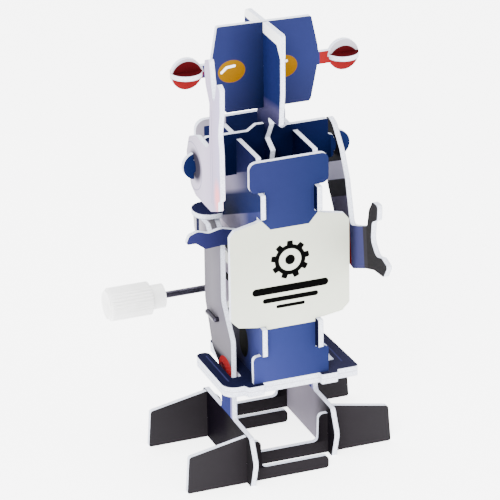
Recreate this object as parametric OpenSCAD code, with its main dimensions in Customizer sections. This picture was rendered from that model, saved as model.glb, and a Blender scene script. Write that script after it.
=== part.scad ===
// Clockwork walking robot, slotted together from flat printed foam boards.
// The robot faces -Y. The floor is z = 0. The origin is on the floor, on the robot's centre plane,
// under the middle of the right foot's front board.

/* [Boards] */
// Thickness of every foam board
board = 2; // [1.8:0.1:2]
// Gap left on each side of a board where it passes through another
play = 0.05; // [0.04:0.01:0.1]

/* [Body] */
// Height of the base's top face above the floor
base_top = 38.2; // [38:0.1:38.6]
// Half width of the chest part of the front panel
chest_half = 23.5; // [22:0.5:24.5]
// Half width of the base
base_half = 26; // [25:0.25:26.25]
// Half width of the top of the front panel
collar_half = 15.5; // [14:0.5:17]

/* [Head] */
// Height of the top of the head's cross board
head_top = 172.6; // [166:0.2:173]
// Radius of the ear discs
ear_r = 5.9; // [5:0.1:6.5]

/* [Arms] */
// Height of the shoulder pivots
shoulder_z = 119.6; // [119:0.1:120]

/* [Legs] */
// Distance of each leg board from the centre plane
leg_x = 18.7; // [18.5:0.1:18.9]
// Radius of the crank pins' circle
crank_r = 6; // [4:0.5:6]
// Length of the foot boards outside the leg
foot_out = 24.8; // [18:0.2:28]
// Length of the foot strips inside the leg
foot_in = 31.9; // [26:0.1:32]

/* [Winding knob] */
// Length of the ribbed grip
grip_len = 16; // [10:0.5:20]
// Radius of the ribbed grip
grip_r = 6.4; // [5:0.1:8]
// Number of ribs round the grip
grip_ribs = 30; // [16:2:40]

/* [Hidden] */
$fn = 48;

// Distances called "depth" run back from the front panel's face, which lies at front_y.
rear_foot = 42;
right_front_depth = 8.1;
front_y = -right_front_depth - board / 2;
left_front_depth = right_front_depth - 2 * crank_r;

base_low = base_top - 2 * board;
rib_x = 11.1;
rib_top = 127.8;
rib_rear = 42;
shoulder_depth = 22;
back_depth = 38;
gap = board + 2 * play;

arm_x = 27.7;
arm_hole = 2.75;
neck_half = 2.5;
pivot_depth = shoulder_depth + board / 2;

head_low = 138.4;
head_mid = 155;
ear_x = 30.7;
ear_z = 155.4;
ear_drop = 0.85;

foot_top = 19.5;
foot_slot = 8;
leg_top = 96.2;
plate_x = -24.2;
skirt_depth = 17;

// Clockwork axes, as [depth, height].
crank_axis = [30, 55.5];
wind_axis = [51, 56];
upper_boss = [33, 76];
gear_m = 0.75;
crank_teeth = 12;
middle_teeth = 22;
middle_pinion_teeth = 10;
main_teeth = 24;
governor_teeth = 10;
middle_to_crank = gear_m * (crank_teeth + middle_teeth) / 2;
middle_to_wind = gear_m * (main_teeth + middle_pinion_teeth) / 2;
axis_span = norm(wind_axis - crank_axis);
axis_dir = (wind_axis - crank_axis) / axis_span;
lead = middle_to_crank * middle_to_crank - middle_to_wind * middle_to_wind;
along = (lead + axis_span * axis_span) / (2 * axis_span);
rise = sqrt(middle_to_crank * middle_to_crank - along * along);
middle_axis = crank_axis + along * axis_dir + rise * [-axis_dir[1], axis_dir[0]];
governor_at = 110;
governor_gap = gear_m * (middle_teeth + governor_teeth) / 2;
governor_axis = middle_axis + governor_gap * [cos(governor_at), sin(governor_at)];
wire_r = 1;
wind_r = 1.3;
arbor_r = 0.8;
fit = 0.05;
case_half = 9.8;
case_wall = 1.2;
boss_end = 12.6;
sink = 1.2;

blue = [0.25, 0.36, 0.62];
navy = [0.12, 0.16, 0.36];
pale = [0.84, 0.84, 0.84];
foam = [0.93, 0.94, 0.95];
dark = [0.3, 0.3, 0.31];
red = [0.75, 0.25, 0.24];
clear_grey = [0.86, 0.87, 0.86];
steel = [0.62, 0.62, 0.64];
brass = [0.78, 0.62, 0.3];

// One corner of an outline, rounded to radius r by formula.
function unit(v) = v / norm(v);
function xy(p) = [p[0], p[1]];
function corner(a, b, c, r) =
    r == 0 ? [b] :
    let(
        u = unit(a - b),
        w = unit(c - b),
        half = acos(u * w) / 2,
        p = b + u * r / tan(half),
        q = b + w * r / tan(half),
        o = b + unit(u + w) * r / sin(half),
        from = atan2(p[1] - o[1], p[0] - o[0]),
        to = atan2(q[1] - o[1], q[0] - o[0]),
        sweep = (to - from + 540) % 360 - 180
    )
    [for (i = [0:6]) o + r * [cos(from + sweep * i / 6), sin(from + sweep * i / 6)]];
// An outline from [x, y, corner radius] points.
function rounded(p) =
    [for (i = [0:len(p) - 1])
        each corner(xy(p[(i + len(p) - 1) % len(p)]), xy(p[i]), xy(p[(i + 1) % len(p)]), p[i][2])];
// The left half of an outline whose right half runs from bottom to top.
function mirrored(p) = [for (i = [len(p) - 1:-1:0]) [-p[i][0], p[i][1], p[i][2]]];
function both_sides(p) = concat(p, mirrored(p));

// Boards standing fore and aft, standing across, and lying flat.
module side_board(x) {
    translate([x - board / 2, front_y, 0])
        rotate([90, 0, 90])
            linear_extrude(board)
                children();
}
module cross_board(depth) {
    translate([0, front_y + depth + board, 0])
        rotate([90, 0, 0])
            linear_extrude(board)
                children();
}
module flat_board(top) {
    translate([0, front_y, top - board])
        linear_extrude(board)
            children();
}
// A slot cut in an outline, from (x, low) to (x + w, high).
module cut(x, low, w, high) {
    translate([x, low])
        square([w, high - low]);
}
// A round bar or disc along X, about an axis given as [depth, height].
module round_bar(axis, from, to, r) {
    translate([from, front_y + axis[0], axis[1]])
        rotate([0, 90, 0])
            cylinder(r = r, h = to - from);
}
// Something drawn in [depth, height] about an axis, as thick as from .. to along X.
module turned(axis, from, to, angle = 0) {
    translate([from, front_y + axis[0], axis[1]])
        rotate([90, 0, 90])
            rotate([0, 0, angle])
                linear_extrude(to - from)
                    children();
}

// ---- Body ----
module front_panel() {
    color(blue)
        cross_board(0)
            polygon(rounded(both_sides([
                [11.9, base_top, 0],
                [11.9, base_low, 0.4],
                [14.9, base_low, 0.4],
                [15, 49, 1.8],
                [9.7, 49.2, 0.3],
                [9.7, 61, 0.3],
                [13.2, 61, 0],
                [20.6, 62.2, 1.5],
                [chest_half, 65.2, 1.5],
                [chest_half, 98.7, 1.5],
                [21.6, 101.2, 0.6],
                [13.4, 102.9, 0.6],
                [9.7, 104.4, 0],
                [9.7, 114.8, 0.3],
                [collar_half, 114.8, 2.6],
                [collar_half, 126.7, 2.8]
            ])));
}

module back_panel() {
    slot_top = 109 + play;
    color(blue)
        cross_board(back_depth)
            difference() {
                polygon(rounded([
                    [-12.9, 90, 1],
                    [13.6, 90, 1],
                    [13.6, 130.5, 1],
                    [-22, 130.5, 4],
                    [-22, 106, 2],
                    [-12.9, 106, 0.5]
                ]));
                cut(-rib_x - gap / 2, 89, gap, slot_top);
                cut(rib_x - gap / 2, 89, gap, slot_top);
            }
}

module rib(side) {
    color(navy)
        side_board(side * rib_x)
            difference() {
                polygon(rounded([
                    [board + play, base_top, 0],
                    [10, base_top, 0],
                    [10, base_low, 0.4],
                    [17, base_low, 0.4],
                    [17, base_top, 0],
                    [28, base_top, 0],
                    [28, base_low, 0.4],
                    [35, base_low, 0.4],
                    [35, base_top, 0],
                    [rib_rear, base_top, 1],
                    [rib_rear, rib_top, 1],
                    [board + play, rib_top, 0.6],
                    [board + play, 114.4, 0],
                    [-2.2, 114.4, 0.6],
                    [-2.2, 104.7, 0.6],
                    [board + play, 104.7, 0],
                    [board + play, 60.7, 0],
                    [-2.2, 60.7, 0.6],
                    [-2.2, 49.5, 0.6],
                    [board + play, 49.5, 0]
                ]));
                cut(shoulder_depth - play, 121 - play, gap, 140);
                cut(back_depth - play, 109 - play, gap, 140);
                translate(crank_axis)
                    circle(3.6);
                translate(upper_boss)
                    circle(2.6);
            }
}

module shoulder_board() {
    head_r = 5.2;
    half = [
        [15, 113.8, 2],
        [26.4, 114.6, 1],
        [26.4, shoulder_z - neck_half, 0],
        [29.2, shoulder_z - neck_half, 0],
        [29.2, shoulder_z + neck_half, 0],
        [26.4, shoulder_z + neck_half, 0],
        [26.4, shoulder_z + neck_half + 1, 0.4],
        [24.3, shoulder_z + neck_half + 2, 0.4],
        [24.3, 130.2, 1]
    ];
    crest = [
        [8, 130.2, 1],
        [6, 129.2, 1],
        [2.6, 132, 1],
        [-4.2, 132.2, 1],
        [-7.4, 130, 1]
    ];
    color(blue)
        cross_board(shoulder_depth)
            difference() {
                union() {
                    polygon(rounded(concat(half, crest, mirrored(half))));
                    for (side = [-1, 1])
                        intersection() {
                            translate([side * arm_x, shoulder_z])
                                circle(head_r);
                            translate([side * (arm_x + 1.2 + head_r) - head_r, shoulder_z - head_r])
                                square(2 * head_r);
                        }
                }
                cut(-rib_x - gap / 2, 110, gap, 121 + play);
                cut(rib_x - gap / 2, 110, gap, 121 + play);
                cut(-gap / 2, 122 - play, gap, 140);
            }
}

// Half of the base's outline. Its front corner sticks out by reach and is rounded to radius r.
function base_edge(reach, r) = [
    [11.4, 0, 0],
    [11.4, -2.2, 0.8],
    [17.7, -2.2, 0.8],
    [18.6, 0, 0],
    [base_half + reach, 0, r],
    [base_half, 33, 2.4],
    [leg_x + 2, 33, 2.4],
    [leg_x + 2, 8.4, 0.8],
    [leg_x - 2, 8.4, 0.8],
    [leg_x - 2, 43, 2]
];
module base_outline() {
    difference() {
        polygon(rounded(concat(base_edge(1.2, 1.5), mirrored(base_edge(0, 4.8)))));
        for (side = [-1, 1]) {
            cut(side * 13.4 - 1.55, -play, 3.1, board + play);
            cut(side * rib_x - gap / 2, 9.95, gap, 17.05);
            cut(side * rib_x - gap / 2, 27.95, gap, 35.05);
        }
    }
}
module base_upper() {
    color(navy)
        flat_board(base_top)
            base_outline();
}
module base_lower() {
    color(foam)
        flat_board(base_top - board)
            base_outline();
}

// ---- Head ----
// The ears are not quite level: the right one sits lower.
function ear_height(side) = ear_z - side * ear_drop;
module head_cross() {
    color(blue)
        cross_board(shoulder_depth)
            difference() {
                union() {
                    polygon(rounded([
                        [16.8, head_low, 0.3],
                        [17.6, head_low + 1, 0.3],
                        [20.9, 155.4, 2],
                        [20.4, 160, 2],
                        [18, head_top - 1, 0.8],
                        [-18.8, head_top, 0.8],
                        [-20.8, 161, 2],
                        [-21, 156.6, 2],
                        [-16.6, head_low + 1.4, 0.3],
                        [-15.6, head_low + 0.3, 0.3]
                    ]));
                    for (side = [-1, 1]) {
                        translate([side * ear_x, ear_height(side)])
                            circle(ear_r);
                        translate([side * 22.5 - 3.5, ear_height(side) - 2.4])
                            square([7, 4.8]);
                    }
                }
                cut(-gap / 2, head_low - 1, gap, head_mid + play);
                cut(ear_x - play, ear_height(1) - gap / 2, 10, ear_height(1) + gap / 2);
                cut(-ear_x - 10 + play, ear_height(-1) - gap / 2, 10, ear_height(-1) + gap / 2);
            }
}

module head_side() {
    color(navy)
        side_board(0)
            difference() {
                polygon(rounded([
                    [19, 114.4, 0.6],
                    [29, 114.4, 0.6],
                    [29, 136.4, 1.5],
                    [38, 139, 2],
                    [40.6, 150, 4],
                    [40.6, head_top - 1.3, 2.5],
                    [4.9, head_top, 1],
                    [5.4, 150, 8],
                    [7.2, 136.4, 1],
                    [20, 136.4, 1],
                    [16.6, 134.1, 0.4],
                    [21.5, 126.6, 0.4],
                    [15.9, 123.7, 0.4]
                ]));
                cut(shoulder_depth - play, 110, gap, 122 + play);
                cut(shoulder_depth - play, head_mid - play, gap, 180);
            }
}

module ear_disc(side) {
    color(red)
        flat_board(ear_height(side) + board / 2)
            difference() {
                translate([side * ear_x, pivot_depth])
                    circle(ear_r);
                translate([side * (ear_x - 5 + play) - 5, shoulder_depth - play])
                    square([10, gap]);
            }
}

// ---- Arms ----
module left_arm() {
    color(pale)
        side_board(-arm_x)
            difference() {
                polygon(rounded([
                    [5, 108.4, 3],
                    [21, 108.6, 4],
                    [26, 111, 3],
                    [30, 122.5, 3],
                    [27, 130, 2.5],
                    [19.5, 132.8, 2.5],
                    [5.6, 131.6, 5],
                    [4.6, 151, 2],
                    [8.2, 157, 4],
                    [9.2, 163, 3],
                    [8.6, 166.4, 1],
                    [4.4, 168, 1],
                    [0.6, 150.2, 1.2],
                    [-3, 161.2, 0.7],
                    [-6, 159.8, 1],
                    [-5.6, 150, 4],
                    [-3.6, 142, 6],
                    [-4.8, 134, 6],
                    [-4.8, 116.4, 2],
                    [-2.4, 114.8, 0.4],
                    [-2.6, 111.4, 1]
                ]));
                translate([pivot_depth, shoulder_z])
                    circle(arm_hole);
            }
}

module right_arm() {
    color(pale)
        side_board(arm_x)
            difference() {
                polygon(rounded([
                    [4, 76.4, 2],
                    [13, 77.5, 4],
                    [22, 91, 5],
                    [29, 101, 6],
                    [32, 121, 6],
                    [30, 128.8, 3],
                    [24, 127, 4],
                    [17, 119.5, 8],
                    [11.5, 109.5, 6],
                    [7, 92.8, 2],
                    [-1, 95.6, 1],
                    [-9.4, 99, 2],
                    [-11, 106, 3],
                    [-14.4, 110.6, 1.5],
                    [-19.4, 110.8, 1.2],
                    [-18.8, 105, 0.8],
                    [-14, 102.4, 3],
                    [-13, 94.6, 4],
                    [-17.8, 90, 4],
                    [-23, 91.6, 0.8],
                    [-28.6, 90.2, 1],
                    [-24.8, 84.8, 1.2],
                    [-16, 84, 3],
                    [-8, 81.4, 2]
                ]));
                translate([pivot_depth, shoulder_z])
                    circle(arm_hole);
            }
}

// ---- Legs ----
module leg_outline() {
    difference() {
        polygon(rounded([
            [-7.6, 0, 0.8],
            [42.4, 0, 0.8],
            [42.2, foot_top, 1.5],
            [22, foot_top, 2],
            [22, 28, 4],
            [24.4, 37.5, 4],
            [30.8, 41.4, 5],
            [37.9, 58.5, 8],
            [37.9, leg_top, 1.5],
            [27.6, leg_top, 1],
            [20.6, 91.4, 1],
            [20.6, 64.4, 4],
            [11, 51.4, 4],
            [11, foot_top, 1.5],
            [-6.6, foot_top, 1.5],
            [-11, 10.5, 4]
        ]));
        translate(crank_axis - [crank_r, 0])
            circle(wire_r + 0.08);
        cut(left_front_depth - play, -1, gap, foot_slot + play);
        cut(left_front_depth + rear_foot - play, -1, gap, foot_slot + play);
    }
}
module left_leg() {
    color(pale)
        side_board(-leg_x)
            union() {
                leg_outline();
                cut(skirt_depth + board + play, 88.6, 4, 90.9);
            }
}
module right_leg() {
    color(pale)
        side_board(leg_x)
            translate([2 * crank_r, 0])
                leg_outline();
}

module foot_board(side, depth) {
    color(dark)
        cross_board(depth)
            difference() {
                polygon(rounded([
                    [side * (leg_x + foot_out), 0, 0.8],
                    [side * (leg_x + foot_out - 1), 14.8, 1.2],
                    [side * (leg_x + 1), foot_top - 0.3, 0.4],
                    [side * leg_x, foot_top - 0.3, 0],
                    [side * leg_x, 16.4, 0],
                    [side * (leg_x - 4.6), 16.4, 1.8],
                    [side * (leg_x - 5), 5.2, 2],
                    [side * (leg_x - foot_in), 5.2, 2],
                    [side * (leg_x - foot_in), 0, 1.2]
                ]));
                cut(side * leg_x - gap / 2, foot_slot - play, gap, 30);
            }
}

module left_hip_cap() {
    color(navy)
        flat_board(leg_top + board)
            polygon(rounded([
                [-26.4, 24.4, 5.9],
                [-16.6, 24.4, 1.5],
                [-16.6, 37.4, 1.5],
                [-26.4, 37.4, 5.9]
            ]));
}
module left_hip_plate() {
    color(pale)
        side_board(plate_x)
            polygon(rounded([
                [skirt_depth + board + play, 89, 0.3],
                [33, 89, 2],
                [34, leg_top, 0.3],
                [21, leg_top, 0.3],
                [skirt_depth + board + play, 94, 0.3]
            ]));
}
module left_hip_skirt() {
    color(blue)
        cross_board(skirt_depth)
            polygon(rounded([
                [-34.4, 91, 0.8],
                [-30.4, 91, 2],
                [-26.8, 88.2, 2],
                [-20.4, 88.6, 3],
                [-15.4, 88.4, 0.6],
                [-13.2, 91, 0.6],
                [-13.8, 93.6, 0.8],
                [-20.4, 95.3, 3],
                [-25.4, 94.2, 3],
                [-29.6, 95.6, 3],
                [-33, 94.4, 1.5]
            ]));
}

// ---- Clockwork ----
module gear(teeth) {
    pitch_r = gear_m * teeth / 2;
    step = 360 / teeth;
    root_r = pitch_r - 1.1 * gear_m;
    tip_r = pitch_r + 0.75 * gear_m;
    tooth = [[root_r, -0.3], [pitch_r, -0.2], [tip_r, -0.1], [tip_r, 0.1], [pitch_r, 0.2], [root_r, 0.3]];
    polygon([
        for (i = [0:teeth - 1])
            for (p = tooth)
                p[0] * [cos(step * (i + p[1])), sin(step * (i + p[1]))]
    ]);
}
function direction(a, b) = atan2(b[1] - a[1], b[0] - a[0]);
// Where a gear's tooth must sit so it meshes with one turned to angle a.
function meshed(a, teeth, line, own_teeth) =
    line + 180 - ((a - line) * teeth / 360 + 0.5) * 360 / own_teeth;
middle_angle = direction(middle_axis, crank_axis);
crank_angle = meshed(middle_angle, middle_teeth, middle_angle, crank_teeth);
governor_angle = meshed(middle_angle, middle_teeth, governor_at, governor_teeth);
middle_pinion_angle = direction(middle_axis, wind_axis);
main_angle = meshed(middle_pinion_angle, middle_pinion_teeth, middle_pinion_angle, main_teeth);

case_low = 44.6;
case_high = 82;
case_front = 22.6;
case_back = 62.8;
screw_spots = [
    [case_front + 3.2, case_low + 3.2],
    [case_back - 2.9, case_low + 2.9],
    [case_front + 3.2, case_high - 3.2],
    [case_back - 3.2, case_high - 3.2]
];
module case_outline(inset) {
    polygon(rounded([
        [case_front + inset, case_low + inset, 4.2 - inset],
        [case_back - inset, case_low + inset, 4.2 - inset],
        [case_back - inset, case_high - inset, 4.2 - inset],
        [case_front + inset, case_high - inset, 4.2 - inset]
    ]));
}
// The left half of the case. Its mirror image is the right half.
module case_half_shell() {
    color(clear_grey)
        difference() {
            union() {
                difference() {
                    turned([0, 0], -case_half, 0)
                        case_outline(0);
                    turned([0, 0], -case_half + case_wall, 1)
                        case_outline(case_wall);
                }
                for (spot = screw_spots)
                    round_bar(spot, -case_half + 0.3, 0, 2.4);
                for (boss = [[crank_axis, 3.5], [upper_boss, 2.5], [wind_axis, 3.5]])
                    round_bar(boss[0], -boss_end, -case_half + 1, boss[1]);
            }
            for (spot = screw_spots) {
                round_bar(spot, -case_half - 1, 1, 0.85);
                round_bar(spot, -case_half - 1, -case_half + sink, 1.8);
            }
            round_bar(crank_axis, -boss_end - 1, 1, wire_r + fit);
            round_bar(wind_axis, -boss_end - 1, 1, wind_r + fit);
            round_bar(middle_axis, -case_half - 1, 1, arbor_r + fit);
            round_bar(governor_axis, -case_half - 1, 1, arbor_r + fit);
        }
}
module case_screws() {
    color(steel)
        for (spot = screw_spots)
            union() {
                round_bar(spot, -case_half + 2, case_half - 1, 0.8);
                round_bar(spot, case_half - sink + play, case_half, 1.7);
            }
}

module wire_knee(x, spot) {
    translate([x, front_y + spot[0], spot[1]])
        sphere(wire_r);
}
module crankshaft() {
    arm = 14.6;
    hook = 20.95;
    hook_len = 8;
    color(steel)
        union() {
            round_bar(crank_axis, -arm, arm, wire_r);
            for (side = [-1, 1]) {
                pin = crank_axis + [side * crank_r, 0];
                round_bar(pin, side > 0 ? arm : -hook, side > 0 ? hook : -arm, wire_r);
                translate([side * arm, front_y + crank_axis[0] + (side > 0 ? 0 : -crank_r), crank_axis[1]])
                    rotate([-90, 0, 0])
                        cylinder(r = wire_r, h = crank_r);
                translate([side * hook, front_y + pin[0] - (side > 0 ? hook_len : 0), crank_axis[1]])
                    rotate([-90, 0, 0])
                        cylinder(r = wire_r, h = hook_len);
                wire_knee(side * arm, crank_axis);
                wire_knee(side * arm, pin);
                wire_knee(side * hook, pin);
                wire_knee(side * hook, pin - [side * hook_len, 0]);
            }
        }
}
module crank_pinion() {
    color(brass)
        turned(crank_axis, 3.6, 7.6, crank_angle)
            difference() {
                gear(crank_teeth);
                circle(wire_r);
            }
}
module winding_shaft() {
    color(steel)
        round_bar(wind_axis, -36, case_half - 0.4, wind_r);
}
module main_wheel() {
    color(brass)
        turned(wind_axis, 0, 2.4, main_angle)
            difference() {
                gear(main_teeth);
                circle(wind_r);
            }
}
// A point on a spiral that starts at radius r and moves out by pitch each turn.
function spiral(r, pitch, turn) = (r + pitch * turn) * [cos(360 * turn), sin(360 * turn)];
module mainspring() {
    turns = 5;
    steps = 100;
    pitch = 1.35;
    ribbon = 0.35;
    color(steel)
        turned(wind_axis, -8, -2)
            polygon([
                for (i = [0:steps])
                    spiral(wind_r, pitch, turns * i / steps),
                for (i = [steps:-1:0])
                    spiral(wind_r + ribbon, pitch, turns * i / steps)
            ]);
}
module winding_knob() {
    grip_end = -37.6;
    grip_start = grip_end - grip_len;
    collar_end = -32;
    collar_r = 4.7;
    groove = 0.3;
    corner_turn = 90 / grip_ribs;
    color(foam)
        difference() {
            union() {
                round_bar(wind_axis, grip_end - 1, collar_end, collar_r);
                round_bar(wind_axis, grip_start - 1, grip_start + 0.1, grip_r - 3 * groove);
                turned(wind_axis, grip_start, grip_end)
                    polygon([
                        for (i = [0:grip_ribs * 4 - 1])
                            let (r = grip_r - groove + groove * cos(i * 90))
                                r * [cos(i * corner_turn), sin(i * corner_turn)]
                    ]);
            }
            round_bar(wind_axis, collar_end - 4, collar_end + 2, wind_r);
        }
}
module middle_arbor() {
    color(steel)
        union() {
            round_bar(middle_axis, -case_half + 0.2, case_half - 0.2, arbor_r);
            turned(middle_axis, -0.4, 3.8, middle_pinion_angle)
                gear(middle_pinion_teeth);
        }
}
module middle_wheel() {
    color(brass)
        turned(middle_axis, 4.4, 6.6, middle_angle)
            difference() {
                gear(middle_teeth);
                circle(arbor_r);
            }
}
module governor_arbor() {
    color(steel)
        union() {
            round_bar(governor_axis, -case_half + 0.2, case_half - 0.2, arbor_r);
            turned(governor_axis, 3.8, 7.4, governor_angle)
                gear(governor_teeth);
        }
}
module governor_rotor() {
    color(brass)
        difference() {
            round_bar(governor_axis, -5, -2, 4.6);
            round_bar(governor_axis, -6, -1, arbor_r);
        }
}

front_panel();
back_panel();
rib(-1);  // left_rib
rib(1);  // right_rib
shoulder_board();
base_upper();
base_lower();
head_cross();
head_side();
ear_disc(-1);  // left_ear_disc
ear_disc(1);  // right_ear_disc
left_arm();
right_arm();
left_leg();
foot_board(-1, left_front_depth);  // left_foot_front
foot_board(-1, left_front_depth + rear_foot);  // left_foot_rear
left_hip_cap();
left_hip_plate();
left_hip_skirt();
right_leg();
foot_board(1, right_front_depth);  // right_foot_front
foot_board(1, right_front_depth + rear_foot);  // right_foot_rear
case_half_shell();  // case_left
mirror([1, 0, 0]) case_half_shell();  // case_right
case_screws();
crankshaft();
crank_pinion();
winding_shaft();
main_wheel();
mainspring();
winding_knob();
middle_arbor();
middle_wheel();
governor_arbor();
governor_rotor();
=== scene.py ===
"""A clockwork walking robot slotted together from printed foam boards, in a plain studio.

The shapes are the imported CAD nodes. This script gives each one its printed faces, its bare foam edges, its
plastic or its metal, and sets up the floor, the lights and the camera. Prints are drawn in millimetres, in
the frame's own axes, except that "depth" runs back from the front panel's face.
"""
from math import cos, radians, sin

import bpy
from mathutils import Matrix, Vector


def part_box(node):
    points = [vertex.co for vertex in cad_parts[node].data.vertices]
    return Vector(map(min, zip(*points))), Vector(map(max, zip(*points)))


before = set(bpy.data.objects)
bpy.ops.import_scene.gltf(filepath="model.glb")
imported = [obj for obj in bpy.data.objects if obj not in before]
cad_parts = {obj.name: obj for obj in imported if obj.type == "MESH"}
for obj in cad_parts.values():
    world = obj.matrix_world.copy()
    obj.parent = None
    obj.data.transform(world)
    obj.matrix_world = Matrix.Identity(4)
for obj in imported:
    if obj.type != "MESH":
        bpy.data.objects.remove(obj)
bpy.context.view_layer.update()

MM = 0.001
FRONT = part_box("front_panel")[0].y / MM      # the front panel's front face, along Y
HEAD_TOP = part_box("head_side")[1].z / MM
HALF_BOARD = 1.0
LEFT_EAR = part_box("left_ear_disc")[0].z / MM + HALF_BOARD
RIGHT_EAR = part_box("right_ear_disc")[0].z / MM + HALF_BOARD
EAR_X, EAR_R = 30.7, 6.4                     # the ears' middle, to each side, and the reach of their print
EYES = ((-13.4, 154.7), (7.0, 153.5))        # the eyes' middles, in X and Z
PIVOT = (23.0, 119.6)                        # the shoulders' depth and height
STRIDE = 12                                  # the right leg stands this much further back than the left
CHEST_LOW, CHEST_HIGH = 59.6, 99.6           # the white chest plate

# The boards' surfaces.
FILM = 0.16                                  # thickness of the printed film on each face
CUT_ROUGH, FILM_ROUGH = 0.70, 0.52           # roughness of the cut foam and of the film
BOARD_SHINE = 0.004                          # almost none, because the inks already hold the boards' shine
DOT_TURNS = 11.0                             # spacing of the film's dots, in radians per millimetre

# How an ink's surface colour follows from the colour it shows.
STUDIO_LIGHT = 5.0                           # light on a white board in this studio
SHEEN = 0.008                                # what any board's gloss adds
FILM_SHOULDER, FILM_RISE = 0.68, 0.28        # the film curve in the mid tones, and its rise towards white
FILM_TOE, TOE_END = 0.3, 0.04                # what it adds in the dark tones, and where they end
BLUE_PULL = (-0.35, 0.2, 0.2)                # how far it pales rich blues, in red, green and blue
RED_PULL = (0.3, 0.3, 0.15)                  # and rich reds
LEAST_INK, MOST_INK = 0.0008, 0.92           # no surface is darker or lighter than this

# The studio.
BARE_FLOOR = (0.92, 0.92, 0.92, 1)
WORN_FLOOR = (0.88, 0.88, 0.88, 1)
FLOOR_GLOW = 3.5                             # lifts the plain floor to almost white
SKY_GLOW = 2.3
CAMERA = (-0.500887, -1.277951, 0.702679)    # metres, with Y from the front panel's face
TURN, TILT, ROLL = 20.79, 24.04, -0.90       # degrees: round to the left, down, and off level
LENS = 295.0


# ---- A small language for shader nodes ------------------------------------------------------------------

def ink(red, green, blue, strength=1.0):
    """The surface colour that shows these 0 to 255 values once the studio lights it and the film curve bends
    it. strength is the share of the full light that reaches it."""
    def light(v):
        v /= 255
        shown = v / 12.92 if v <= 0.04045 else ((v + 0.055) / 1.055) ** 2.4
        return (FILM_SHOULDER + FILM_RISE * shown) * shown / (1.0 - shown) + FILM_TOE * min(shown, TOE_END)
    lights = [light(v) for v in (red, green, blue)]
    richness = 1.0 - min(lights) / max(lights)
    pull = BLUE_PULL if blue >= red else RED_PULL
    reaching = STUDIO_LIGHT * strength
    surface = [(a * (1.0 - b * richness) - SHEEN) / reaching for a, b in zip(lights, pull)]
    return (*[min(max(a, LEAST_INK), MOST_INK) for a in surface], 1.0)


class Num:
    """A number in a node tree. Arithmetic on it adds Math nodes."""

    def __init__(self, paint, socket):
        self.paint = paint
        self.socket = socket

    def __add__(self, other):
        return self.paint.math("ADD", self, other)

    def __radd__(self, other):
        return self.paint.math("ADD", other, self)

    def __sub__(self, other):
        return self.paint.math("SUBTRACT", self, other)

    def __rsub__(self, other):
        return self.paint.math("SUBTRACT", other, self)

    def __mul__(self, other):
        return self.paint.math("MULTIPLY", self, other)

    __rmul__ = __mul__

    def __truediv__(self, other):
        return self.paint.math("DIVIDE", self, other)

    def __abs__(self):
        return self.paint.math("ABSOLUTE", self, 0.0)


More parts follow.
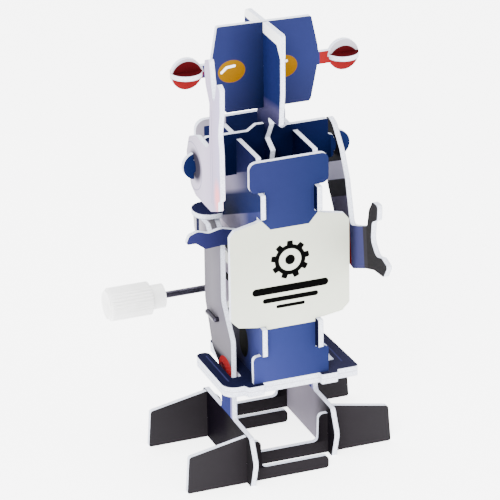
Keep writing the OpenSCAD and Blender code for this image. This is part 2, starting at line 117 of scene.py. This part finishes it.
class Paint:
    """One material and the nodes that draw it."""

    def __init__(self, name):
        self.material = bpy.data.materials.new(name)
        self.material.use_nodes = True
        self.tree = self.material.node_tree
        self.tree.nodes.clear()
        self.shader = self.tree.nodes.new("ShaderNodeBsdfPrincipled")
        output = self.tree.nodes.new("ShaderNodeOutputMaterial")
        self.tree.links.new(self.shader.outputs["BSDF"], output.inputs["Surface"])
        place = self.tree.nodes.new("ShaderNodeTexCoord")
        scaled = self.tree.nodes.new("ShaderNodeVectorMath")
        scaled.operation = "SCALE"
        scaled.inputs["Scale"].default_value = 1 / MM
        self.tree.links.new(place.outputs["Object"], scaled.inputs[0])
        self.place = scaled.outputs["Vector"]
        self.x, self.y, self.z = self.parts(self.place)
        self.depth = self.y - FRONT
        self.facing = self.parts(place.outputs["Normal"])

    def parts(self, vector):
        split = self.tree.nodes.new("ShaderNodeSeparateXYZ")
        self.tree.links.new(vector, split.inputs[0])
        return [Num(self, out) for out in split.outputs]

    def feed(self, value, socket):
        """Puts a Num, a colour or a plain number into a socket."""
        if isinstance(value, Num):
            self.tree.links.new(value.socket, socket)
        else:
            socket.default_value = value

    def math(self, operation, a, b=0.0):
        node = self.tree.nodes.new("ShaderNodeMath")
        node.operation = operation
        self.feed(a, node.inputs[0])
        self.feed(b, node.inputs[1])
        return Num(self, node.outputs[0])

    def hypot(self, a, b):
        return self.math("SQRT", a * a + b * b)

    def least(self, a, b):
        return self.math("MINIMUM", a, b)

    def most(self, a, b):
        return self.math("MAXIMUM", a, b)

    def ramp(self, value, low, high, start=0.0, end=1.0, smooth=False):
        """start below low, end above high, and a straight or smooth blend between."""
        node = self.tree.nodes.new("ShaderNodeMapRange")
        node.interpolation_type = "SMOOTHSTEP" if smooth else "LINEAR"
        self.feed(value, node.inputs["Value"])
        for name, number in (("From Min", low), ("From Max", high), ("To Min", start), ("To Max", end)):
            self.feed(number, node.inputs[name])
        return Num(self, node.outputs["Result"])

    def over(self, value, edge, soft=0.06):
        """1 where value is above edge, 0 below it."""
        return self.ramp(value, edge - soft, edge + soft)

    def under(self, value, edge, soft=0.06):
        return self.ramp(value, edge - soft, edge + soft, 1.0, 0.0)

    def between(self, value, low, high, soft=0.06):
        return self.over(value, low, soft) * self.under(value, high, soft)

    def round_patch(self, a, b, centre, size, soft=0.06):
        """1 inside an ellipse with these half sizes."""
        far = self.hypot((a - centre[0]) / size[0], (b - centre[1]) / size[1])
        return self.under(far, 1.0, soft / min(size))

    def bar(self, a, b, start, end, half, soft=0.06):
        """1 inside a straight stroke with round ends."""
        run, rise = end[0] - start[0], end[1] - start[1]
        length = run * run + rise * rise
        along = ((a - start[0]) * run + (b - start[1]) * rise) / length
        along = self.least(self.most(along, 0.0), 1.0)
        gap = self.hypot(a - start[0] - along * run, b - start[1] - along * rise)
        return self.under(gap, half, soft)

    def mix(self, under, over, amount):
        """The colour over laid on the colour under."""
        node = self.tree.nodes.new("ShaderNodeMix")
        node.data_type = "RGBA"
        node.clamp_factor = True
        self.feed(amount, node.inputs["Factor"])
        self.feed(under, node.inputs[6])
        self.feed(over, node.inputs[7])
        return Num(self, node.outputs[2])

    def shade(self, colour, amount):
        """The colour made darker or lighter by a factor."""
        node = self.tree.nodes.new("ShaderNodeHueSaturation")
        self.feed(amount, node.inputs["Value"])
        self.feed(colour, node.inputs["Color"])
        return Num(self, node.outputs["Color"])

    def noise(self, size, detail=2.0, stretch=(1, 1, 1)):
        """Smooth noise from 0 to 1 whose features are about size millimetres across."""
        mapping = self.tree.nodes.new("ShaderNodeVectorMath")
        mapping.operation = "MULTIPLY"
        mapping.inputs[1].default_value = [s / size for s in stretch]
        self.tree.links.new(self.place, mapping.inputs[0])
        node = self.tree.nodes.new("ShaderNodeTexNoise")
        node.inputs["Scale"].default_value = 1.0
        node.inputs["Detail"].default_value = detail
        self.tree.links.new(mapping.outputs["Vector"], node.inputs["Vector"])
        return Num(self, node.outputs["Fac"])

    def cells(self, size):
        """Distance from the nearest foam bead's middle, 0 to about 1."""
        mapping = self.tree.nodes.new("ShaderNodeVectorMath")
        mapping.operation = "SCALE"
        mapping.inputs["Scale"].default_value = 1 / size
        self.tree.links.new(self.place, mapping.inputs[0])
        node = self.tree.nodes.new("ShaderNodeTexVoronoi")
        node.inputs["Scale"].default_value = 1.0
        self.tree.links.new(mapping.outputs["Vector"], node.inputs["Vector"])
        return Num(self, node.outputs["Distance"])

    def finish(self, colour, roughness, height=None, bump=0.02):
        """Sets the shader. height is in millimetres times bump."""
        self.feed(colour, self.shader.inputs["Base Color"])
        self.feed(roughness, self.shader.inputs["Roughness"])
        if height is not None:
            node = self.tree.nodes.new("ShaderNodeBump")
            node.inputs["Distance"].default_value = bump * MM
            self.feed(height, node.inputs["Height"])
            self.tree.links.new(node.outputs["Normal"], self.shader.inputs["Normal"])
        return self.material


def dress(node, material):
    """Gives a CAD node its material."""
    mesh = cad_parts[node].data
    mesh.materials.clear()
    mesh.materials.append(material)


# ---- Inks -----------------------------------------------------------------------------------------------

BLUE = ink(66, 98, 168)
HEAD_BLUE = ink(56, 84, 148)
CHEST = ink(220, 221, 215)
PALE = ink(214, 213, 216)
RED = ink(196, 74, 70)
MAROON = ink(140, 44, 46)
YELLOW = (0.165, 0.076, 0.0006, 1.0)
AMBER = (0.125, 0.052, 0.0004, 1.0)
WHITE = ink(244, 244, 242)
FOAM = ink(229, 233, 235)
BLUSH = ink(236, 206, 204)


# ---- Printed boards -------------------------------------------------------------------------------------

def board(node, across, front, back=None):
    """A foam board. across is the axis through its thickness: 0, 1 or 2. front and back draw the print on
    the face that looks down and up that axis. The cut edges show white foam between two printed films."""
    p = Paint("board_" + node)
    back = back or front
    low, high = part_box(node)
    middle = (low[across] + high[across]) / 2 / MM
    half = (high[across] - low[across]) / 2 / MM
    through = [p.x, p.y, p.z][across] - middle
    normal = p.facing[across]
    on_face = p.over(abs(normal), 0.6, 0.1)
    on_back = p.over(normal, 0.0, 0.1)

    printed = p.mix(front(p), back(p), on_back)
    mottle = p.noise(3.2, 3.0)
    rows = p.math("SINE", (p.x + p.z * 0.9 + p.y * 0.8) * DOT_TURNS)
    dots = rows * p.math("SINE", (p.x * 0.9 - p.z + p.y * 0.7) * DOT_TURNS)
    printed = p.shade(printed, 0.965 + mottle * 0.07 + dots * 0.022)

    bead = p.cells(0.42)
    foam = p.mix(FOAM, ink(206, 212, 220), p.ramp(bead, 0.25, 0.75) * 0.55)
    foam = p.shade(foam, 0.97 + p.noise(1.4) * 0.06)
    side = p.over(through, 0.0, 0.02)
    film_colour = p.mix(front(p), back(p), side)
    film = p.over(abs(through), half - FILM, 0.03) * 0.55
    foam = p.mix(foam, film_colour, film)

    colour = p.mix(foam, printed, on_face)
    roughness = CUT_ROUGH - on_face * (CUT_ROUGH - FILM_ROUGH) + (mottle - 0.5) * 0.10
    skin = p.noise(0.35, 2.0) * 0.35 + p.noise(4.5, 1.0) * 1.6 + dots * 0.06
    height = skin * on_face + (bead * 1.7 + p.noise(0.25) * 0.5) * (1.0 - on_face)
    p.shader.inputs["Specular IOR Level"].default_value = BOARD_SHINE
    dress(node, p.finish(colour, roughness, height, 0.035))


def gradient(p, value, stops):
    """Colours blended along value, from (place, colour) pairs in order."""
    colour = p.mix(stops[0][1], stops[1][1], p.ramp(value, stops[0][0], stops[1][0]))
    for (start, _), (end, after) in zip(stops[1:], stops[2:]):
        colour = p.mix(colour, after, p.ramp(value, start, end))
    return colour


def front_print(p):
    """Blue collar and foot, a white chest plate, and on it a cog over three bars."""
    wide = abs(p.x)
    blue = gradient(p, p.z, [
        (40, ink(83, 112, 172)),
        (56, ink(77, 108, 168)),
        (103, ink(67, 96, 153)),
        (120, ink(64, 92, 150)),
    ])
    blue = p.mix(blue, ink(46, 77, 134), p.ramp(p.x, -10, 16) * 0.75)
    chest_top = CHEST_HIGH + p.most(wide - 7.6, 0.0) * 1.15
    white = p.under(p.z - chest_top, 0.0) * p.over(p.z, CHEST_LOW)
    chest = p.mix(CHEST, ink(225, 226, 221), p.ramp(p.z + wide * 0.3, 96, 62))
    colour = p.mix(blue, chest, white)
    return p.mix(colour, ink(22, 22, 22), emblem(p) * white)


def emblem(p):
    """A generic sign: a toothed ring round a disc, and three bars of different lengths below."""
    centre, ring, thick = (0.0, 86.4), 5.6, 1.25
    a, b = p.x - centre[0], p.z - centre[1]
    far = p.hypot(a, b)
    angle = p.math("ARCTAN2", b, a)
    tooth = p.over(p.math("SINE", angle * 9.0), 0.0, 0.25)
    cog = p.over(far, ring - thick, 0.1) * p.under(far - tooth * 1.5, ring + thick * 0.4, 0.1)
    hub = p.under(far, 2.0, 0.1)
    bars = p.bar(p.x, p.z, (-13.6, 75.2), (13.6, 75.2), 1.5)
    bars = p.most(bars, p.bar(p.x, p.z, (-10.0, 71.2), (10.0, 71.2), 1.0))
    bars = p.most(bars, p.bar(p.x, p.z, (-5.0, 68.2), (5.0, 68.2), 0.7))
    return p.most(p.most(cog, hub), bars)


def front_back_print(p):
    """Blue, with a plain white chest plate."""
    white = p.under(p.z, CHEST_HIGH) * p.over(p.z, CHEST_LOW)
    return p.mix(BLUE, CHEST, white)


def above_ear_disc(p):
    """Height above the middle of the ear disc on the same side."""
    return p.z - p.ramp(p.x, -1, 1, LEFT_EAR, RIGHT_EAR)


def face_print(p):
    """The face board: blue, with two yellow eyes. The left ear's neck is blue and the right one is red."""
    wide = abs(p.x)
    colour = gradient(p, p.z, [
        (139, ink(60, 84, 136, 0.85)),
        (155, ink(62, 90, 148, 0.85)),
        (170, ink(60, 87, 144, 0.85)),
    ])
    shadow = p.ramp(p.x, -16.0, -1.5) * p.under(p.x, 0.0)
    colour = p.mix(colour, ink(27, 44, 86, 0.85), shadow * p.ramp(p.z, 170, 142, 0.55, 0.95))
    for eye in EYES:
        patch = p.round_patch(p.x, p.z, eye, (5.3, 4.35))
        yolk = p.mix(YELLOW, AMBER, p.ramp(p.x - p.z, eye[0] - eye[1] - 4, eye[0] - eye[1] + 7))
        colour = p.mix(colour, yolk, patch)
        left = eye[0] - 3.9
        shine = p.most(
            p.bar(p.x, p.z, (left, eye[1]), (left + 1.9, eye[1] + 1.7), 0.5),
            p.bar(p.x, p.z, (left + 1.9, eye[1] + 1.7), (left + 5.0, eye[1] + 2.0), 0.5))
        colour = p.mix(colour, WHITE, shine * 0.95)
    colour = p.mix(colour, RED, p.over(p.x, 21.2))
    high = above_ear_disc(p)
    ear = p.under(p.hypot(wide - EAR_X, high), EAR_R, 0.05)
    dome = p.mix(p.mix(RED, ink(178, 62, 60, 0.85), p.ramp(high, -3, -6)), MAROON, p.over(high, 0.0))
    drop = p.ramp(p.x, -1, 1, 1.0, 2.5)
    crescent = p.over(p.hypot(wide - EAR_X, high + drop), EAR_R - 0.5) * p.over(high, 0.0)
    return p.mix(colour, p.mix(dome, ink(206, 206, 210, 0.85), crescent), ear)


def face_back_print(p):
    """Blue, darker towards the chin, with red ears."""
    ear = p.under(p.hypot(abs(p.x) - EAR_X, above_ear_disc(p)), EAR_R, 0.05)
    return p.mix(p.mix(HEAD_BLUE, ink(46, 68, 124), p.ramp(p.z, 170, 140)), RED, ear)


def profile_print(p):
    """The head's side board: blue, with an unprinted band along the top and forehead and a greyer jaw."""
    colour = gradient(p, p.depth, [
        (7, ink(40, 62, 124, 0.6)),
        (14, ink(42, 63, 126, 0.6)),
        (22, ink(36, 56, 120, 0.6)),
    ])
    jaw = gradient(p, p.z, [
        (112, ink(20, 34, 76, 0.6)),
        (130, ink(30, 44, 90, 0.6)),
        (138, ink(76, 88, 126, 0.6)),
        (146, ink(110, 120, 158, 0.6)),
    ])
    line = 143.6 - p.ramp(p.depth, 5, 24, 0.0, 2.0)
    colour = p.mix(colour, jaw, p.under(p.z - line, 0.0, 1.6))
    line = p.least(163.0 + (p.depth - 4.5) * 1.3, HEAD_TOP - 4.6)
    return p.mix(colour, ink(226, 226, 228, 0.6), p.over(p.z - line, 0.0, 0.1))


def ear_disc_print(p):
    return p.mix(MAROON, ink(120, 38, 40), p.ramp(p.noise(5.0), 0.3, 0.7))


def rib_outside(p):
    """The body's outer side: a navy top, then slanting grey bands that fade to blue in front."""
    slant = p.z + p.depth * 0.43
    fade = p.ramp(p.depth, 30, 10)
    grey = p.mix(ink(172, 176, 190, 0.75), ink(66, 90, 140, 0.75), fade)
    pale = p.mix(ink(176, 178, 190, 0.75), ink(74, 100, 156, 0.75), fade)
    dark = p.mix(ink(28, 46, 104, 0.7), ink(40, 66, 128, 0.75), p.ramp(p.depth, 24, 6))
    navy = p.mix(ink(46, 64, 118, 0.7), ink(50, 70, 128, 0.7), p.noise(9.0))
    colour = p.mix(dark, pale, p.under(slant, 107.4, 0.15))
    colour = p.mix(colour, grey, p.over(slant, 116.6, 1.2))
    colour = p.mix(colour, navy, p.over(slant, 123.9, 0.2))
    # Beside and below the chest: blue fading to grey, a pale field, a dark oval and two dark bars.
    low = gradient(p, p.depth, [
        (0, ink(80, 108, 165, 0.8)),
        (14, ink(56, 80, 136, 0.8)),
        (22, ink(84, 94, 126, 0.8)),
        (36, ink(120, 122, 132, 0.8)),
    ])
    low = p.mix(low, ink(196, 196, 204, 0.75), p.between(p.z, 51.5, 90.0, 0.4) * p.over(p.depth, 17.0, 2.0))
    low = p.mix(low, ink(22, 22, 28, 0.75), p.round_patch(p.depth, p.z, (17.6, 48.0), (4.6, 6.4)))
    low = p.mix(low, ink(16, 20, 46, 0.75), p.between(p.z, 79.0, 86.5) + p.between(p.z, 66.0, 69.0))
    return p.mix(colour, low, p.under(p.z, 89.0, 0.1))


def rib_inside(p):
    return gradient(p, p.z, [
        (38, ink(40, 52, 96, 0.8)),
        (90, ink(22, 34, 80, 0.8)),
        (128, ink(24, 40, 92, 0.8)),
    ])


def shoulder_print(p):
    """Navy, with blue round tabs."""
    wide = abs(p.x)
    colour = p.mix(ink(30, 46, 98, 0.8), ink(24, 42, 88, 0.8), p.ramp(p.z, 128, 114))
    return p.mix(colour, ink(40, 66, 130), p.over(wide, 25.4))


def back_front_print(p):
    """Blue field inside a light grey border."""
    colour = gradient(p, p.z, [(90, ink(40, 60, 120)), (130, ink(58, 88, 152))])
    border = p.most(p.under(p.x, -18.7), p.over(p.z, 127.9) * p.under(p.x, -10.0))
    return p.mix(colour, ink(206, 206, 212), border)


def back_print(p):
    """Blue with a light panel and two rows of round vents."""
    colour = gradient(p, p.z, [(90, ink(52, 78, 142)), (130, ink(66, 96, 164))])
    panel = p.between(p.x, -9.0, 9.8) * p.between(p.z, 97.0, 124.0)
    colour = p.mix(colour, CHEST, panel)
    for row in (106.0, 115.0):
        for step in (-6.0, 0.0, 6.0):
            colour = p.mix(colour, ink(54, 54, 60), p.round_patch(p.x, p.z, (step + 0.4, row), (1.7, 1.7)))
    return colour


def base_top_print(p):
    """Navy with a lighter blue plate outline towards the back."""
    left = p.mix(ink(42, 55, 99), ink(48, 62, 106), p.ramp(p.depth, 4, 26))
    colour = p.mix(left, ink(67, 82, 116), p.over(p.x, 0.0))
    rim = p.between(abs(p.x), 22.4, 23.0) * p.between(p.depth, 6, 30)
    return p.mix(colour, ink(92, 112, 160), rim * 0.8)


def base_bottom_print(p):
    return p.mix(PALE, ink(196, 198, 204), p.noise(8.0))


def from_pivot(p):
    """Distance from the shoulder's axis."""
    return p.hypot(p.depth - PIVOT[0], p.z - PIVOT[1])


def left_arm_print(p):
    """Pale grey sleeve with two faint lines, a pink blush by the elbow and a painted shadow round the
    shoulder's tab.
    """
    colour = gradient(p, p.depth, [
        (-6, ink(206, 210, 222)),
        (2, ink(207, 207, 217)),
        (12, ink(212, 212, 220)),
        (30, ink(205, 206, 212)),
    ])
    blush = p.round_patch(p.depth, p.z, (-1.8, 116.4), (2.6, 5.4), 1.4) * 0.8
    colour = p.mix(colour, BLUSH, blush)
    stripe = p.between(p.depth, 2.6, 3.0) + p.between(p.depth, 4.4, 4.7)
    colour = p.mix(colour, ink(150, 158, 186), stripe * p.between(p.z, 112, 149) * 0.6)
    ring = p.between(from_pivot(p), 8.8, 9.2)
    colour = p.mix(colour, ink(150, 158, 184), ring * 0.6)
    # Painted shadow round the shoulder's tab, darkest just beside it.
    far = p.hypot(p.depth - 20.4, p.z - 120.6)
    return p.mix(colour, ink(40, 46, 72), p.ramp(far, 7.6, 4.2, 0.0, 0.95, smooth=True))


def right_arm_print(p):
    """Navy shoulder, grey rings down the upper arm, then a red and blue cuff and a dark claw."""
    slant = p.z + p.depth * 0.443
    colour = gradient(p, slant, [
        (88, ink(70, 72, 84, 0.6)),
        (100, ink(98, 102, 122, 0.6)),
        (108, ink(104, 108, 132, 0.6)),
    ])
    colour = p.mix(colour, ink(42, 44, 54, 0.6), p.over(slant, 108.0, 0.15))
    colour = p.mix(colour, ink(172, 177, 187, 0.5), p.over(slant, 115.0, 0.15))
    colour = p.mix(colour, ink(24, 24, 42, 0.6), p.over(slant, 122.4, 0.15))
    reach = p.depth - (p.z - 87) * 0.10
    colour = p.mix(colour, RED, p.between(reach, 6.6, 8.6, 0.1) * p.under(p.z, 95))
    colour = p.mix(colour, ink(92, 112, 160, 0.8), p.under(reach, 6.6, 0.1))
    colour = p.mix(colour, ink(84, 85, 92, 0.8), p.under(reach, -6.2, 0.1))
    colour = p.mix(colour, ink(66, 66, 70, 0.8), p.under(reach, -9.6, 0.1))
    hub = p.under(from_pivot(p), 5.4, 0.2)
    return p.mix(colour, ink(56, 56, 62), hub * 0.5)


def leg_print(shift, inside=False):
    """A leg board: grey thigh, dark knee with a red disc, blue shin, dark foot, darker still towards the
    back of the outer face with painted shade between the foot plates. shift moves it all back.
    """
    def draw(p):
        d = p.depth - shift
        thigh = gradient(p, d, [
            (20, ink(160, 162, 171)),
            (30, ink(172, 173, 179)),
            (38, ink(166, 166, 173)),
        ])
        colour = p.mix(thigh, ink(164, 164, 170), p.ramp(p.z, 60, 48))
        colour = p.mix(colour, ink(34, 36, 52), p.under(p.z, 42.5, 1.6))
        disc = p.round_patch(d, p.z, (17.0, 37.0), (7.2, 5.8))
        colour = p.mix(colour, RED, disc)
        colour = p.mix(colour, ink(150, 46, 50), p.round_patch(d, p.z, (20.0, 36.0), (3.8, 3.2)) * disc)
        colour = p.mix(colour, ink(84, 112, 172), p.under(p.z, 33.6, 0.2))
        colour = p.mix(colour, ink(170, 182, 210), p.under(p.z, 33.6, 0.2) * p.under(d, 12.6, 0.3))
        # Dark grey print, with painted shade from depth 12 back, where the foot plates close in on the outer
        # face.
        foot = gradient(p, d, [
            (-12, ink(66, 65, 70)),
            (12, ink(62, 61, 66)),
            (20, ink(40, 39, 49)),
            (34, ink(36, 36, 44)),
        ])
        if inside:
            foot = gradient(p, d, [
                (-4, ink(44, 44, 50)),
                (3, ink(120, 120, 126, 0.6)),
                (10, ink(156, 156, 165, 0.6)),
                (42, ink(162, 162, 170, 0.55)),
            ])
        return p.mix(colour, foot, p.under(p.z, 19.7, 0.1))
    return draw


def foot_print(p):
    """Dark grey tread plate, a little lighter towards its outer end."""
    colour = p.mix(ink(62, 60, 65, 0.75), ink(72, 71, 75, 0.75), p.ramp(abs(p.x), 18, 44))
    return p.mix(colour, ink(38, 37, 41, 0.75), p.ramp(abs(p.x), 19, 13.5) * p.over(p.z, 5.0))


def cap_print(p):
    return p.mix(ink(48, 64, 122), ink(42, 56, 112), p.ramp(p.depth, 20, 34))


def hip_plate_print(p):
    """Pale grey with one dark blue bar."""
    colour = gradient(p, p.depth, [(20, ink(170, 172, 180)), (34, ink(214, 214, 216))])
    return p.mix(colour, ink(34, 50, 108), p.between(p.depth, 27.6, 30.6))


def skirt_print(p):
    return p.mix(ink(68, 88, 148, 0.85), ink(56, 76, 134, 0.85), p.ramp(p.x, -34, -20))


board("front_panel", 1, front_print, front_back_print)
board("back_panel", 1, back_front_print, back_print)
board("left_rib", 0, rib_outside, rib_inside)
board("right_rib", 0, rib_inside, rib_outside)
board("shoulder_board", 1, shoulder_print)
board("base_upper", 2, base_bottom_print, base_top_print)
board("base_lower", 2, base_bottom_print, base_bottom_print)
board("head_cross", 1, face_print, face_back_print)
board("head_side", 0, profile_print)
board("left_ear_disc", 2, ear_disc_print)
board("right_ear_disc", 2, ear_disc_print)
board("left_arm", 0, left_arm_print)
board("right_arm", 0, right_arm_print)
board("left_leg", 0, leg_print(0), leg_print(0, inside=True))
board("right_leg", 0, leg_print(STRIDE, inside=True), leg_print(STRIDE))
for foot in ("left_foot_front", "left_foot_rear", "right_foot_front", "right_foot_rear"):
    board(foot, 1, foot_print)
board("left_hip_cap", 2, cap_print)
board("left_hip_plate", 0, hip_plate_print)
board("left_hip_skirt", 1, skirt_print)


# ---- Plastic and metal ----------------------------------------------------------------------------------

def plastic(name, colour, shadow, roughness, glow, nodes):
    """Moulded plastic, slightly milky, with faint flow marks in a darker tone and handling dullness."""
    p = Paint(name)
    flow = p.noise(9.0, 3.0, (0.4, 1, 1))
    fine = p.noise(0.5, 2.0)
    p.shader.inputs["Subsurface Weight"].default_value = glow
    p.shader.inputs["Subsurface Radius"].default_value = (0.004, 0.004, 0.004)
    p.shader.inputs["Subsurface Scale"].default_value = 0.35
    # shadow is not shade here: it is the plastic's own darker tone, laid in along the flow marks.
    base = p.mix(colour, shadow, p.ramp(flow, 0.35, 0.7) * 0.5)
    dull = roughness + (flow - 0.5) * 0.12 + (fine - 0.5) * 0.05
    finish = p.finish(base, dull, flow * 0.8 + fine * 0.25, 0.03)
    for node in nodes:
        dress(node, finish)


def metal(name, colour, dull, roughness, stretch, nodes):
    """Metal with fine tool marks and small dull patches."""
    p = Paint(name)
    marks = p.noise(0.12, 2.0, stretch)
    patches = p.noise(3.0, 4.0)
    p.shader.inputs["Metallic"].default_value = 1.0
    base = p.mix(colour, dull, p.ramp(patches, 0.45, 0.75) * 0.6)
    finish = p.finish(base, roughness + marks * 0.14 + patches * 0.08, marks * 0.6 + patches * 0.4, 0.012)
    for node in nodes:
        dress(node, finish)


plastic("knob_plastic", ink(238, 238, 236), ink(222, 222, 220), 0.36, 0.25, ["winding_knob"])
plastic("case_plastic", ink(214, 218, 216), ink(198, 204, 203), 0.30, 0.2, ["case_left", "case_right"])
metal("turned_steel", ink(124, 128, 142), ink(78, 82, 100), 0.20, (0.05, 1, 1),
      ["winding_shaft", "crankshaft", "middle_arbor", "governor_arbor"])
metal("spring_steel", ink(140, 142, 150), ink(96, 100, 116), 0.26, (1, 0.3, 0.3),
      ["mainspring", "case_screws"])
metal("cut_brass", ink(214, 178, 96), ink(176, 136, 66), 0.24, (0.1, 1, 1),
      ["crank_pinion", "main_wheel", "middle_wheel", "governor_rotor"])


# ---- Studio ---------------------------------------------------------------------------------------------

def floor():
    size = 6.0
    mesh = bpy.data.meshes.new("floor")
    corners = [(-size, -size, 0), (size, -size, 0), (size, size, 0), (-size, size, 0)]
    mesh.from_pydata(corners, [], [(0, 1, 2, 3)])
    ground = bpy.data.objects.new("floor", mesh)
    bpy.context.scene.collection.objects.link(ground)
    p = Paint("floor")
    mesh.materials.append(p.finish(p.mix(BARE_FLOOR, WORN_FLOOR, p.noise(60.0)), 0.75))
    p.shader.inputs["Emission Color"].default_value = (1, 1, 1, 1)
    p.shader.inputs["Emission Strength"].default_value = FLOOR_GLOW


def area_light(name, place, target, size, power):
    lamp = bpy.data.lights.new(name, "AREA")
    lamp.shape = "DISK"
    lamp.size = size
    lamp.energy = power
    holder = bpy.data.objects.new(name, lamp)
    holder.location = place
    holder.rotation_euler = (Vector(target) - Vector(place)).to_track_quat("-Z", "Y").to_euler()
    bpy.context.scene.collection.objects.link(holder)


def studio():
    world = bpy.data.worlds.new("studio")
    world.use_nodes = True
    sky = world.node_tree.nodes["Background"]
    sky.inputs["Color"].default_value = (1.0, 1.0, 1.0, 1)
    sky.inputs["Strength"].default_value = SKY_GLOW
    bpy.context.scene.world = world
    aim = (0, 0.01, 0.09)
    area_light("key", (-0.55, -0.75, 0.85), aim, 0.55, 24.0)
    area_light("fill", (0.75, -0.6, 0.45), aim, 0.7, 8.0)
    area_light("top", (0.0, 0.3, 1.0), aim, 0.8, 10.0)


def camera():
    """A long lens from the left front, looking a little down."""
    turn, tilt, roll = radians(TURN), radians(TILT), radians(ROLL)
    right = Vector((cos(turn), -sin(turn), 0))
    up = Vector((sin(turn) * sin(tilt), cos(turn) * sin(tilt), cos(tilt)))
    back = Vector((-sin(turn) * cos(tilt), -cos(turn) * cos(tilt), sin(tilt)))
    level, upright = right * cos(roll) + up * sin(roll), up * cos(roll) - right * sin(roll)
    lens = bpy.data.cameras.new("camera")
    lens.sensor_width = 36
    lens.lens = LENS
    lens.clip_end = 50
    eye = bpy.data.objects.new("camera", lens)
    place = Matrix.Translation(Vector((CAMERA[0], CAMERA[1] + FRONT * MM, CAMERA[2])))
    eye.matrix_world = place @ Matrix((level, upright, back)).transposed().to_4x4()
    bpy.context.scene.collection.objects.link(eye)
    bpy.context.scene.camera = eye


floor()
studio()
camera()
